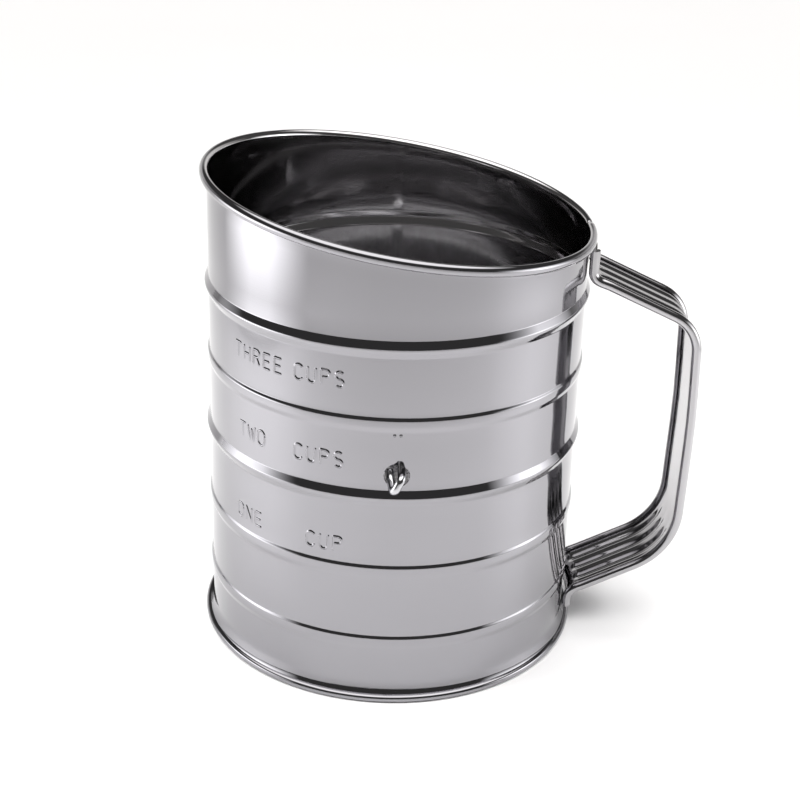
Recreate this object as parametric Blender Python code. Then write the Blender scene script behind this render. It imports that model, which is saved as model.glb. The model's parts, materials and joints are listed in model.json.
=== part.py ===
"""Hand-cranked flour sifter: a sheet-metal can with a slanted mouth and a strap handle,
a woven dome screen inside it, and a wire crank that turns two agitator hoops.

+Z is up, the handle points along +X and the crank's shaft lies along Y, with its knob on +Y.
The origin is on the floor, in the middle of the whole object's footprint.
All sizes are in metres.
"""

import math

import bmesh
import bpy
from mathutils import Matrix, Vector

MM = 0.001
CLEARANCE = 0.3 * MM             # gap left between pieces that touch on the real object

# The can
BODY_RADIUS = 52.0 * MM          # outside of the plain wall
SHEET = 0.5 * MM
ROUND_SEGMENTS = 48              # steps round the can
WALL_RADIUS = BODY_RADIUS - SHEET / 2
RIM_MID_HEIGHT = 126.7 * MM      # centre of the rolled rim above the can's axis
RIM_SLOPE = 0.148                # fall of the mouth towards the handle
RIM_HALF_WIDTH = 0.95 * MM       # the rolled rim is an upright oval, to the middle of the sheet
RIM_HALF_HEIGHT = 1.2 * MM
FOOT_ROLL = 0.9 * MM
FOOT_REACH = 1.4 * MM            # how far the foot's roll is centred outside the wall
FOOT_FLARE = ((0.5 * MM, 3.2 * MM), (0.0, 5.0 * MM))   # (distance out from the wall, height)
BEADS = (                        # (height of the bead's crest, how far it stands out)
    (18.2 * MM, 0.45 * MM),
    (40.1 * MM, 0.45 * MM),
    (62.4 * MM, 1.0 * MM),
    (83.2 * MM, 0.45 * MM),
    (104.1 * MM, 1.0 * MM),
)
SEAT_BEAD = 2                    # the bead that the screen's hoop sits in
# A bead's outline as (mm above its crest, share of the crest's height)
STEP_SHAPE = ((-2.6, 0.0), (-1.6, 0.5), (-0.5, 1.0), (0.0, 1.0), (1.9, 0.0))   # deep bead
BAND_SHAPE = ((-1.8, 0.0), (-1.1, 1.0), (1.1, 1.0), (1.8, 0.0))                # shallow bead

# The shaft and its two holes
SHAFT_HEIGHT = 68.8 * MM
WIRE_RADIUS = 1.1 * MM
HOLE_RADIUS = 3.4 * MM
HOLE_TIP = 4.3 * MM              # the notch above the hook's hole reaches this far up
HOOK_REACH = 58.0 * MM           # the hook's outermost point from the can's axis

# The crank
ARM_PLANE = 57.0 * MM            # distance of the crank's arm from the can's axis
ARM_LENGTH = 38.0 * MM
SPINDLE_END = 90.0 * MM
CRANK_BEND = 4.0 * MM
KNOB_START = 61.5 * MM
KNOB_LENGTH = 25.0 * MM
KNOB_RADIUS = 10.0 * MM
KNOB_DOME = 7.5 * MM              # length of the knob's rounded end
KNOB_BORE = WIRE_RADIUS + 0.4 * MM
CAP_LENGTH = 3.6 * MM
CAP_RADIUS = 3.2 * MM

# The bush on the crank's side
BUSH_START = 49.6 * MM           # inner end, from the can's axis
BUSH_LIP_RADIUS = 3.9 * MM
BUSH_FLANGE_RADIUS = 5.6 * MM
BUSH_FLANGE = 1.1 * MM

# The agitator: two half hoops of wire, coiled round the shaft at both ends
HOOP_WIRE_RADIUS = 1.0 * MM
HOOP_RADIUS = 46.4 * MM
HOOP_LEFT_END = 42.5 * MM        # where the left hoop's coils sit along the shaft
HOOP_RIGHT_END = 36.5 * MM
COIL_TURNS = 1.5

# The screen and its hoop
SCREEN_RADIUS = 49.8 * MM
SCREEN_THICKNESS = 0.6 * MM
SCREEN_EDGE_BOTTOM = 60.0 * MM
SCREEN_EDGE_TOP = 63.2 * MM
BAND_BOTTOM = 59.4 * MM
BAND_TOP = 64.4 * MM
BAND_SHEET = 0.6 * MM
BAND_OUTER = BODY_RADIUS - SHEET - CLEARANCE
RIDGE_HALF = 1.2 * MM            # half the height of the hoop's ridge

# The handle
STRAP_HALF_WIDTH = 12.0 * MM
STRAP_SHEET = 0.7 * MM
STRAP_EDGE = 1.4 * MM            # radius of the strap's rolled edges
STRAP_RIB = 0.5 * MM
STRAP_RIBS = (-5.5 * MM, 0.0, 5.5 * MM)
STRAP_RIB_WIDTH = 4.2 * MM
TAB_X = BODY_RADIUS + CLEARANCE + STRAP_EDGE
GRIP_X = 83.55 * MM
GRIP_END_X = 82.6 * MM
STRAP_ROUTE = (                  # (x, z, bend radius) of the strap's middle, top to bottom
    (TAB_X, 116.4 * MM, 0.0),
    (TAB_X, 108.1 * MM, 3.5 * MM),
    (GRIP_END_X, 94.7 * MM, 12.0 * MM),
    (GRIP_X, 66.0 * MM, 300.0 * MM),
    (GRIP_END_X, 25.0 * MM, 20.0 * MM),
    (TAB_X, 10.8 * MM, 5.0 * MM),
    (TAB_X, 5.6 * MM, 0.0),
)
RIB_FADE = 4.0 * MM              # the ribs die away over this distance from the tabs and the grip

# The can's axis in the object's own frame, whose origin is the middle of the footprint
FOOT_EDGE = WALL_RADIUS + FOOT_REACH + FOOT_ROLL + SHEET / 2
CAN_X = (FOOT_EDGE - GRIP_X - STRAP_EDGE) / 2
CAN_Y = (HOOK_REACH - SPINDLE_END - CLEARANCE) / 2


# ---------------------------------------------------------------- materials

def make_material(name, color, roughness, metallic):
    material = bpy.data.materials.new(name)
    material.use_nodes = True
    shader = material.node_tree.nodes["Principled BSDF"]
    shader.inputs["Base Color"].default_value = (*color, 1.0)
    shader.inputs["Roughness"].default_value = roughness
    shader.inputs["Metallic"].default_value = metallic
    return material


# ---------------------------------------------------------------- outlines

def arc(center, radius, start, end, steps):
    """Points on a circle in a plane, from one angle in degrees to another."""
    points = []
    for i in range(steps + 1):
        angle = math.radians(start + (end - start) * i / steps)
        points.append((center[0] + radius * math.cos(angle), center[1] + radius * math.sin(angle)))
    return points


def thicken(path, thickness):
    """The closed outline of a sheet whose middle follows a path in a plane."""
    left = []
    right = []
    for i, point in enumerate(path):
        before = Vector(path[max(i - 1, 0)])
        here = Vector(point)
        after = Vector(path[min(i + 1, len(path) - 1)])
        run_in = (here - before).normalized() if i > 0 else (after - here).normalized()
        run_out = (after - here).normalized() if i < len(path) - 1 else run_in
        normal = Vector((-run_in.y - run_out.y, run_in.x + run_out.x)).normalized()
        reach = thickness / 2 / normal.dot(Vector((-run_in.y, run_in.x)))
        left.append(tuple(here + normal * reach))
        right.append(tuple(here - normal * reach))
    return left + right[::-1]


def bend(corners):
    """A path of straight runs with a rounded bend at each corner: (point, radius) pairs."""
    path = [Vector(corners[0][0])]
    for i in range(1, len(corners) - 1):
        corner = Vector(corners[i][0])
        radius = corners[i][1]
        to_before = (Vector(corners[i - 1][0]) - corner).normalized()
        to_after = (Vector(corners[i + 1][0]) - corner).normalized()
        turn = math.pi - to_before.angle(to_after)
        center = corner + (to_before + to_after).normalized() * radius / math.cos(turn / 2)
        first = corner + to_before * radius * math.tan(turn / 2) - center
        across = (to_before * -1 - first.normalized() * to_before.dot(first.normalized()) * -1)
        across = across.normalized() * radius
        steps = max(2, math.ceil(math.degrees(turn) / 14))
        for j in range(steps + 1):
            angle = turn * j / steps
            path.append(center + first * math.cos(angle) + across * math.sin(angle))
    path.append(Vector(corners[-1][0]))
    return path


# ---------------------------------------------------------------- objects

def add_object(name, data, material, parent, turn=None):
    thing = bpy.data.objects.new(name, data)
    bpy.context.collection.objects.link(thing)
    data.materials.append(material)
    thing.parent = parent
    if turn is not None:
        thing.rotation_euler = turn
    return thing


def add_empty(name, location, parent=None):
    empty = bpy.data.objects.new(name, None)
    bpy.context.collection.objects.link(empty)
    empty.parent = parent
    empty.location = location
    return empty


def skin_loops(name, loops, closed):
    """A mesh over a row of outlines with equal numbers of points, closed round or capped."""
    mesh = bpy.data.meshes.new(name)
    bm = bmesh.new()
    rings = [[bm.verts.new(point) for point in loop] for loop in loops]
    count = len(rings[0])
    last = len(rings) if closed else len(rings) - 1
    for i in range(last):
        ring = rings[i]
        following = rings[(i + 1) % len(rings)]
        for j in range(count):
            k = (j + 1) % count
            bm.faces.new((ring[j], ring[k], following[k], following[j]))
    if not closed:
        bm.faces.new(rings[0][::-1])
        bm.faces.new(rings[-1])
    bmesh.ops.remove_doubles(bm, verts=bm.verts, dist=0.001 * MM)
    bmesh.ops.recalc_face_normals(bm, faces=bm.faces)
    bm.to_mesh(mesh)
    bm.free()
    mesh.shade_smooth()
    mesh.set_sharp_from_angle(angle=math.radians(35))
    return mesh


def turned_mesh(name, section_at, segments):
    """A ring or a turned piece about Z: section_at(angle) gives its outline as (r, z)."""
    loops = []
    for i in range(segments):
        angle = 2 * math.pi * i / segments
        loops.append([(r * math.cos(angle), r * math.sin(angle), z) for r, z in section_at(angle)])
    return skin_loops(name, loops, closed=True)


def turned_piece(name, outline, segments, material, parent):
    """A piece turned about the shaft's direction: its outline is (r, distance along Y)."""
    mesh = turned_mesh(name, lambda angle: outline, segments)
    mesh.transform(Matrix.Rotation(-math.pi / 2, 4, "X"))
    return add_object(name, mesh, material, parent)


def wire_piece(name, path, radius, sides, material, parent):
    """A round wire along a path, with closed ends."""
    curve = bpy.data.curves.new(name, "CURVE")
    curve.dimensions = "3D"
    curve.bevel_depth = radius
    curve.bevel_resolution = (sides - 4) // 2
    curve.use_fill_caps = True
    spline = curve.splines.new("POLY")
    spline.points.add(len(path) - 1)
    for spline_point, point in zip(spline.points, path):
        spline_point.co = (*point, 1.0)
    return add_object(name, curve, material, parent)


# ---------------------------------------------------------------- the can

def wall_path(angle):
    """The middle of the can's sheet at one angle: curled foot, flare, beads, rolled rim."""
    foot = (WALL_RADIUS + FOOT_REACH, FOOT_ROLL * math.sin(math.radians(60)) + SHEET / 2)
    path = arc(foot, FOOT_ROLL, 170, 240, 2) + arc(foot, FOOT_ROLL, 300, 470, 5)
    path += [(WALL_RADIUS + out, height) for out, height in FOOT_FLARE]
    for height, crest in BEADS:
        shape = STEP_SHAPE if crest > SHEET else BAND_SHAPE
        path += [(WALL_RADIUS + crest * out, height + rise * MM) for rise, out in shape]
    rim_radius = WALL_RADIUS + RIM_HALF_WIDTH
    rim_height = RIM_MID_HEIGHT - RIM_SLOPE * rim_radius * math.cos(angle)
    for across, up in arc((0, 0), 1.0, 180, -105, 7):
        path.append((rim_radius + RIM_HALF_WIDTH * across, rim_height + RIM_HALF_HEIGHT * up))
    return path


def make_hole_cutter(name, side, notched, parent):
    """A hole's plug through one wall: round, or flattened beside a small notch above it."""
    outline = arc((0, 0), HOLE_RADIUS, 0, 345, 23)
    if notched:
        outline = arc((0, 0), HOLE_RADIUS, 105, 385, 18)
        outline += [(0.9 * MM, HOLE_TIP - 0.9 * MM), (0.7 * MM, HOLE_TIP - 0.4 * MM)]
        outline += [(0.3 * MM, HOLE_TIP), (-0.2 * MM, HOLE_TIP - 0.4 * MM)]
    loops = []
    for depth in (BODY_RADIUS - 4 * MM, BODY_RADIUS + 4 * MM):
        loops.append([(x, side * depth, z) for x, z in outline])
    cutter = bpy.data.objects.new(name, skin_loops(name, loops, closed=False))
    bpy.context.collection.objects.link(cutter)
    cutter.parent = parent
    cutter.location = (0, 0, SHAFT_HEIGHT)
    cutter.hide_render = True
    cutter.display_type = "WIRE"
    return cutter


def make_body_shell(material, parent):
    mesh = turned_mesh("body_shell", lambda angle: thicken(wall_path(angle), SHEET), ROUND_SEGMENTS)
    shell = add_object("body_shell", mesh, material, parent)
    for name, side, notched in (("hook_hole_cutter", -1, True), ("crank_hole_cutter", 1, False)):
        cut = shell.modifiers.new(name, "BOOLEAN")
        cut.operation = "DIFFERENCE"
        cut.object = make_hole_cutter(name, side, notched, parent)


def make_screen(material, parent):
    """A dome of mesh about the shaft's middle, turned up at its edge."""
    edge_angle = math.degrees(math.asin((SCREEN_EDGE_BOTTOM - 1 * MM - SHAFT_HEIGHT) / SCREEN_RADIUS))
    path = arc((0, SHAFT_HEIGHT), SCREEN_RADIUS, -90, edge_angle, 9)
    path.append((SCREEN_RADIUS, SCREEN_EDGE_BOTTOM + 0.5 * MM))
    path.append((SCREEN_RADIUS, SCREEN_EDGE_TOP))
    outline = thicken(path, SCREEN_THICKNESS)
    outline[0] = (0.0, outline[0][1])
    outline[-1] = (0.0, outline[-1][1])
    mesh = turned_mesh("screen_mesh", lambda angle: outline, ROUND_SEGMENTS)
    add_object("screen_mesh", mesh, material, parent)


def make_screen_band(material, parent):
    """A folded band over the screen's edge, with a ridge that snaps into the can's bead."""
    seat_height, seat_crest = BEADS[SEAT_BEAD]
    outer = BAND_OUTER - BAND_SHEET / 2
    inner = SCREEN_RADIUS - SCREEN_THICKNESS / 2 - CLEARANCE - BAND_SHEET / 2
    path = [
        (inner, BAND_BOTTOM + 1.2 * MM),
        (inner, BAND_TOP - BAND_SHEET),
        (inner + BAND_SHEET / 2, BAND_TOP - BAND_SHEET / 2),
        (outer - BAND_SHEET / 2, BAND_TOP - BAND_SHEET / 2),
        (outer, BAND_TOP - BAND_SHEET),
        (outer, seat_height + RIDGE_HALF),
        (outer + seat_crest * 0.6, seat_height - 0.3 * MM),
        (outer, seat_height - RIDGE_HALF - 0.3 * MM),
        (outer, BAND_BOTTOM),
    ]
    outline = thicken(path, BAND_SHEET)
    mesh = turned_mesh("screen_hoop", lambda angle: outline, ROUND_SEGMENTS)
    add_object("screen_hoop", mesh, material, parent)


# ---------------------------------------------------------------- the handle

def strap_section(rib_height):
    """The strap's cross-section as (distance across, height), ribbed, with rolled edges."""
    middle = []
    flat_end = STRAP_HALF_WIDTH - STRAP_EDGE
    for rib in STRAP_RIBS:
        middle.append((rib - STRAP_RIB_WIDTH / 2, 0.0))
        middle.append((rib, rib_height))
        middle.append((rib + STRAP_RIB_WIDTH / 2, 0.0))
    faces = thicken(middle, STRAP_SHEET)
    top = faces[:len(middle)]
    bottom = faces[len(middle):]
    right_edge = arc((flat_end, 0.0), STRAP_EDGE, 150, -150, 6)
    left_edge = arc((-flat_end, 0.0), STRAP_EDGE, -30, -330, 6)
    return top + right_edge + bottom + left_edge


def make_handle(material, parent):
    """The strap: its end tabs are curved to lie round the can."""
    route = bend([((x, 0, z), radius) for x, z, radius in STRAP_ROUTE])
    loops = []
    for i, point in enumerate(route):
        ahead = route[min(i + 1, len(route) - 1)] - route[max(i - 1, 0)]
        normal = Vector((-ahead.z, 0, ahead.x)).normalized()
        hug = max(0.0, 1.0 - (point.x - TAB_X) / (3 * MM))
        rib_share = min(1.0, (point.x - TAB_X) / RIB_FADE, (GRIP_END_X - point.x) / RIB_FADE)
        section = strap_section(STRAP_RIB * max(0.0, rib_share))
        loop = []
        for across, height in section:
            sag = TAB_X - math.sqrt(TAB_X ** 2 - across ** 2)
            loop.append(point + normal * height + Vector((-hug * sag, across, 0)))
        loops.append(loop)
    mesh = skin_loops("handle_strap", loops, closed=False)
    add_object("handle_strap", mesh, material, parent)


# ---------------------------------------------------------------- the crank

def make_crank_wire(material, parent):
    """One wire: knob spindle, arm, shaft through the can, and a hook turned back on itself."""
    corners = [
        ((0, SPINDLE_END - 1.2 * MM, -ARM_LENGTH), 0.0),
        ((0, ARM_PLANE, -ARM_LENGTH), CRANK_BEND),
        ((0, ARM_PLANE, 0), CRANK_BEND - 1.2 * MM),
        ((0, -45.0 * MM, 0), 3.0 * MM),
        ((1.2 * MM, -49.0 * MM, 1.4 * MM), 3.0 * MM),
        ((1.2 * MM, -56.4 * MM, 1.3 * MM), 1.6 * MM),
        ((-0.9 * MM, 1.2 * MM - HOOK_REACH, -3.0 * MM), 1.5 * MM),
        ((-1.6 * MM, -50.9 * MM, -1.1 * MM), 3.0 * MM),
        ((-1.6 * MM, -47.8 * MM, -1.1 * MM), 0.0),
    ]
    wire_piece("crank_wire", bend(corners), WIRE_RADIUS, 10, material, parent)


def make_agitator_hoop(name, side, coil_y, material, parent):
    """Half a hoop beside the shaft, with a short coil round the shaft at each end."""
    coil_radius = WIRE_RADIUS + CLEARANCE + HOOP_WIRE_RADIUS
    pitch = 2 * HOOP_WIRE_RADIUS + CLEARANCE
    steps = round(COIL_TURNS * 12)
    coil = []
    for i in range(steps):
        angle = 2 * math.pi * COIL_TURNS * (1 - i / steps)
        shift = pitch * COIL_TURNS * (1 - i / steps)
        coil.append((side * coil_radius * math.sin(-angle), -coil_y + shift, coil_radius * math.cos(angle)))
    hoop = []
    for i in range(1, 36):
        angle = math.pi * i / 36
        lift = coil_radius * (1 - math.sin(angle)) ** 2
        hoop.append((side * HOOP_RADIUS * math.sin(angle), -coil_y * math.cos(angle), lift))
    far_coil = [(x, -y, z) for x, y, z in coil[::-1]]
    path = coil + [(0.0, -coil_y, coil_radius)] + hoop + [(0.0, coil_y, coil_radius)] + far_coil
    wire_piece(name, path, HOOP_WIRE_RADIUS, 6, material, parent)


def make_bush(material, parent):
    """A flanged bush that fills the crank-side hole round the shaft, proud of the bead below."""
    bore = WIRE_RADIUS + CLEARANCE
    barrel = HOLE_RADIUS - CLEARANCE
    flange_start = BODY_RADIUS + BEADS[SEAT_BEAD][1] + CLEARANCE
    outline = [
        (bore, BUSH_START),
        (BUSH_LIP_RADIUS, BUSH_START),
        (BUSH_LIP_RADIUS, BUSH_START + 1.2 * MM),
        (barrel, BUSH_START + 1.4 * MM),
        (barrel, flange_start),
        (BUSH_FLANGE_RADIUS, flange_start),
        (BUSH_FLANGE_RADIUS, flange_start + BUSH_FLANGE - 0.4 * MM),
        (BUSH_FLANGE_RADIUS - 0.4 * MM, flange_start + BUSH_FLANGE),
        (bore, flange_start + BUSH_FLANGE),
    ]
    turned_piece("crank_bush", outline, 24, material, parent)


def make_knob(material, parent):
    """A turned grip that tapers towards the crank's arm, round at its outer end."""
    outline = [(KNOB_BORE, KNOB_START), (5.2 * MM, KNOB_START)]
    outline += [(6.2 * MM, KNOB_START + 1.0 * MM), (7.4 * MM, KNOB_START + 8 * MM)]
    dome_start = KNOB_START + KNOB_LENGTH - KNOB_DOME
    outline += [(9.2 * MM, dome_start - 4.5 * MM)]
    for i in range(6):
        angle = math.radians(14 * i)
        outline.append((KNOB_RADIUS * math.cos(angle), dome_start + KNOB_DOME * math.sin(angle)))
    outline += [(2.5 * MM, KNOB_START + KNOB_LENGTH), (KNOB_BORE, KNOB_START + KNOB_LENGTH)]
    turned_piece("crank_knob", outline, 24, material, parent)


def make_washer(name, start, outer, thickness, material, parent):
    bore = WIRE_RADIUS + CLEARANCE
    end = start + thickness
    outline = [(bore, start), (outer, start), (outer, end), (bore, end)]
    turned_piece(name, outline, 24, material, parent)


def make_push_cap(material, parent):
    """A domed cap pushed on the spindle's end, which keeps the knob on."""
    start = SPINDLE_END - CAP_LENGTH + 0.9 * MM
    bore = WIRE_RADIUS + CLEARANCE
    dome_start = start + 1.2 * MM
    dome_height = SPINDLE_END + CLEARANCE - dome_start
    socket_end = SPINDLE_END - 0.8 * MM
    outline = [(0.0, socket_end), (bore, socket_end), (bore, start), (CAP_RADIUS, start)]
    for i in range(6):
        angle = math.radians(18 * i)
        outline.append((CAP_RADIUS * math.cos(angle), dome_start + dome_height * math.sin(angle)))
    outline[-1] = (0.0, dome_start + dome_height)
    turned_piece("knob_push_cap", outline, 20, material, parent)


# ---------------------------------------------------------------- the whole sifter

def main():
    for thing in list(bpy.data.objects):
        bpy.data.objects.remove(thing, do_unlink=True)

    polished_steel = make_material("polished_steel", (0.62, 0.62, 0.64), 0.12, 1.0)
    strap_steel = make_material("strap_steel", (0.60, 0.60, 0.62), 0.16, 1.0)
    woven_steel = make_material("woven_steel", (0.50, 0.50, 0.52), 0.35, 1.0)
    band_steel = make_material("band_steel", (0.55, 0.55, 0.57), 0.25, 1.0)
    bright_wire = make_material("bright_wire", (0.65, 0.65, 0.67), 0.15, 1.0)
    hoop_wire = make_material("hoop_wire", (0.58, 0.58, 0.60), 0.2, 1.0)
    bush_plastic = make_material("bush_plastic", (0.55, 0.55, 0.53), 0.45, 0.0)
    knob_black = make_material("knob_black", (0.012, 0.012, 0.013), 0.25, 0.0)
    cap_steel = make_material("cap_steel", (0.66, 0.66, 0.68), 0.2, 1.0)

    can = add_empty("can_axis", (CAN_X, CAN_Y, 0))
    shaft = add_empty("shaft_axis", (0, 0, SHAFT_HEIGHT), can)
    spindle = add_empty("spindle_axis", (0, 0, -ARM_LENGTH), shaft)

    make_body_shell(polished_steel, can)
    make_screen(woven_steel, can)
    make_screen_band(band_steel, can)
    make_handle(strap_steel, can)
    make_bush(bush_plastic, shaft)

    make_crank_wire(bright_wire, shaft)
    make_agitator_hoop("agitator_hoop_left", -1, HOOP_LEFT_END, hoop_wire, shaft)
    make_agitator_hoop("agitator_hoop_right", 1, HOOP_RIGHT_END, hoop_wire, shaft)

    make_washer("knob_inner_washer", KNOB_START - 1.1 * MM, 4.2 * MM, 0.8 * MM, cap_steel, spindle)
    make_knob(knob_black, spindle)
    make_push_cap(cap_steel, spindle)


main()
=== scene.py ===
"""Looks of a hand-cranked flour sifter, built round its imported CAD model.

The can, its handle, the woven screen and the crank are made here as fine meshes, in metres.
"""

import json
import math

import bmesh
import bpy
from mathutils import Matrix, Vector


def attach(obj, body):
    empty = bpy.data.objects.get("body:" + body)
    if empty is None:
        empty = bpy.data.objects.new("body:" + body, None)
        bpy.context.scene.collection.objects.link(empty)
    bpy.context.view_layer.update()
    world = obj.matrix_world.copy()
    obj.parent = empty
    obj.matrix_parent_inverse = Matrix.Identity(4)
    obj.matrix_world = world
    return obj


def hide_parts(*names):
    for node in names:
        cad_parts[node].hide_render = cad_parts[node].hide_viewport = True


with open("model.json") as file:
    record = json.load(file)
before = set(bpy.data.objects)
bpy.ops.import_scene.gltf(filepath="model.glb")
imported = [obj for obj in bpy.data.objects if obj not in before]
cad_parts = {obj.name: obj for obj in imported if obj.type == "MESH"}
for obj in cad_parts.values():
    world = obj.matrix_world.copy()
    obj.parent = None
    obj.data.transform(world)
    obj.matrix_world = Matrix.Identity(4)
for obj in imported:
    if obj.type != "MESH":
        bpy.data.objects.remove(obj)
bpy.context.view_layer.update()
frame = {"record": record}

MM = 0.001
CLEARANCE = 0.3 * MM            # between pieces that touch on the real object
joints = {joint["name"]: joint for joint in frame["record"]["behaviour"]["joints"]}
SHAFT = Vector(joints["crank_spin"]["pos_m"])
SPINDLE = Vector(joints["knob_spin"]["pos_m"])
CAN = Vector((SHAFT.x, SHAFT.y, 0.0))
SHAFT_Z = SHAFT.z


# ---------------------------------------------------------------- node helpers

class Nodes:
    """A short way to build one material's node tree."""

    def __init__(self, tree):
        self.tree = tree

    def add(self, kind, inputs=None, **settings):
        node = self.tree.nodes.new(kind)
        for key, value in settings.items():
            setattr(node, key, value)
        for key, value in (inputs or {}).items():
            self.put(node.inputs[key], value)
        return node

    def put(self, socket, value):
        if isinstance(value, bpy.types.NodeSocket):
            self.tree.links.new(value, socket)
        else:
            socket.default_value = value

    def math(self, operation, first, second=0.0):
        return self.add("ShaderNodeMath", {0: first, 1: second}, operation=operation).outputs[0]

    def vector_math(self, operation, first, second):
        return self.add("ShaderNodeVectorMath", {0: first, 1: second}, operation=operation)

    def noise(self, vector, scale, detail=2.0, roughness=0.5):
        node = self.add("ShaderNodeTexNoise", {"Scale": scale, "Detail": detail, "Roughness": roughness})
        self.tree.links.new(vector, node.inputs["Vector"])
        return node.outputs["Fac"]

    def ramp(self, value, low, high, to_low, to_high):
        limits = {"From Min": low, "From Max": high, "To Min": to_low, "To Max": to_high}
        node = self.add("ShaderNodeMapRange", limits)
        self.tree.links.new(value, node.inputs["Value"])
        return node.outputs["Result"]

    def mix(self, factor, first, second):
        node = self.add("ShaderNodeMix", data_type="RGBA")
        self.put(node.inputs["Factor"], factor)
        self.put(node.inputs["A"], (*first, 1.0))
        self.put(node.inputs["B"], (*second, 1.0))
        return node.outputs["Result"]

    def stretched(self, scale):
        """Object coordinates, stretched along an axis by a small scale."""
        coords = self.add("ShaderNodeTexCoord").outputs["Object"]
        mapping = self.add("ShaderNodeMapping", {"Scale": scale})
        self.tree.links.new(coords, mapping.inputs["Vector"])
        return mapping.outputs["Vector"]


def new_material(name):
    material = bpy.data.materials.new(name)
    material.use_nodes = True
    nodes = Nodes(material.node_tree)
    shader = material.node_tree.nodes["Principled BSDF"]
    return material, nodes, shader


def faces_can_axis(nodes):
    """1 where a surface faces the can's axis, 0 where it faces away from it."""
    spot = nodes.add("ShaderNodeTexCoord").outputs["Object"]
    from_axis = nodes.vector_math("SUBTRACT", spot, CAN).outputs["Vector"]
    outward = nodes.vector_math("MULTIPLY", from_axis, (1, 1, 0)).outputs["Vector"]
    normal = nodes.add("ShaderNodeNewGeometry").outputs["Normal"]
    facing = nodes.vector_math("DOT_PRODUCT", outward, normal).outputs["Value"]
    return nodes.ramp(facing, -0.03, -0.01, 1.0, 0.0)


def steel_with_painted_inner_light(name, bright, dull, painted_inner_light, roughness, inside_roughness, ripple):
    """The can's sheet: mirror-polished outside, with a softer polish on its inner face. The inner face's
    paler colour is painted light that brightens the can's dark interior.
    """
    material, nodes, shader = polished_steel(name, bright, dull, roughness, (0.1, 0.1, 4), ripple)
    within = faces_can_axis(nodes)
    # Painted light: the inner face gets a paler base colour so the can's interior looks brighter.
    inner_light_mix = nodes.add("ShaderNodeMix", data_type="RGBA")
    nodes.put(inner_light_mix.inputs["Factor"], within)
    nodes.put(inner_light_mix.inputs["A"], shader.inputs["Base Color"].links[0].from_socket)
    nodes.put(inner_light_mix.inputs["B"], (*painted_inner_light, 1.0))
    nodes.put(shader.inputs["Base Color"], inner_light_mix.outputs["Result"])
    outer_rough = shader.inputs["Roughness"].links[0].from_socket
    added = nodes.ramp(within, 0.0, 1.0, 0.0, inside_roughness - roughness)
    nodes.put(shader.inputs["Roughness"], nodes.math("ADD", outer_rough, added))
    return material


def polished_steel(name, bright, dull, roughness, scratch_scale, ripple):
    """Mirror-polished sheet: faint polishing lines, tiny pits, and the slow ripple of thin metal."""
    material, nodes, shader = new_material(name)
    shader.inputs["Metallic"].default_value = 1.0
    lines = nodes.noise(nodes.stretched(scratch_scale), 900.0, 3.0, 0.6)
    cloud = nodes.noise(nodes.stretched((1, 1, 1)), 45.0, 3.0)
    nodes.put(shader.inputs["Base Color"], nodes.mix(cloud, dull, bright))
    rough = nodes.ramp(lines, 0.35, 0.75, roughness * 0.75, roughness * 1.35)
    nodes.put(shader.inputs["Roughness"], rough)
    slow = nodes.noise(nodes.stretched((1, 1, 0.5)), 28.0, 1.0)
    ripple_bump = nodes.add("ShaderNodeBump", {"Strength": 1.0, "Distance": ripple, "Height": slow})
    fine_bump = nodes.add("ShaderNodeBump", {"Strength": 0.12, "Distance": 0.00002, "Height": lines})
    nodes.tree.links.new(ripple_bump.outputs["Normal"], fine_bump.inputs["Normal"])
    nodes.put(shader.inputs["Normal"], fine_bump.outputs["Normal"])
    return material, nodes, shader


def moulded_plastic(name, color, roughness, grain):
    """Moulded plastic: a little mottled, with a faint pebble to its gloss."""
    material, nodes, shader = new_material(name)
    cloud = nodes.noise(nodes.stretched((1, 1, 1)), 220.0, 4.0)
    light = tuple(min(1.0, c * 1.25 + 0.002) for c in color)
    nodes.put(shader.inputs["Base Color"], nodes.mix(cloud, color, light))
    nodes.put(shader.inputs["Roughness"], nodes.ramp(cloud, 0.3, 0.7, roughness * 0.85, roughness * 1.25))
    pebble = nodes.noise(nodes.stretched((1, 1, 1)), 1500.0, 2.0)
    bump = nodes.add("ShaderNodeBump", {"Strength": 0.2, "Distance": grain, "Height": pebble})
    nodes.put(shader.inputs["Normal"], bump.outputs["Normal"])
    return material


# ---------------------------------------------------------------- shapes

def arc(center, radius, start, end, steps):
    points = []
    for i in range(steps + 1):
        angle = math.radians(start + (end - start) * i / steps)
        points.append((center[0] + radius * math.cos(angle), center[1] + radius * math.sin(angle)))
    return points


def thicken(path, thickness):
    """The closed outline of a sheet whose middle follows a path in a plane."""
    left = []
    right = []
    for i, point in enumerate(path):
        before = Vector(path[max(i - 1, 0)])
        here = Vector(point)
        after = Vector(path[min(i + 1, len(path) - 1)])
        run_in = (here - before).normalized() if i > 0 else (after - here).normalized()
        run_out = (after - here).normalized() if i < len(path) - 1 else run_in
        normal = Vector((-run_in.y - run_out.y, run_in.x + run_out.x)).normalized()
        reach = thickness / 2 / normal.dot(Vector((-run_in.y, run_in.x)))
        left.append(tuple(here + normal * reach))
        right.append(tuple(here - normal * reach))
    return left + right[::-1]


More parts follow.
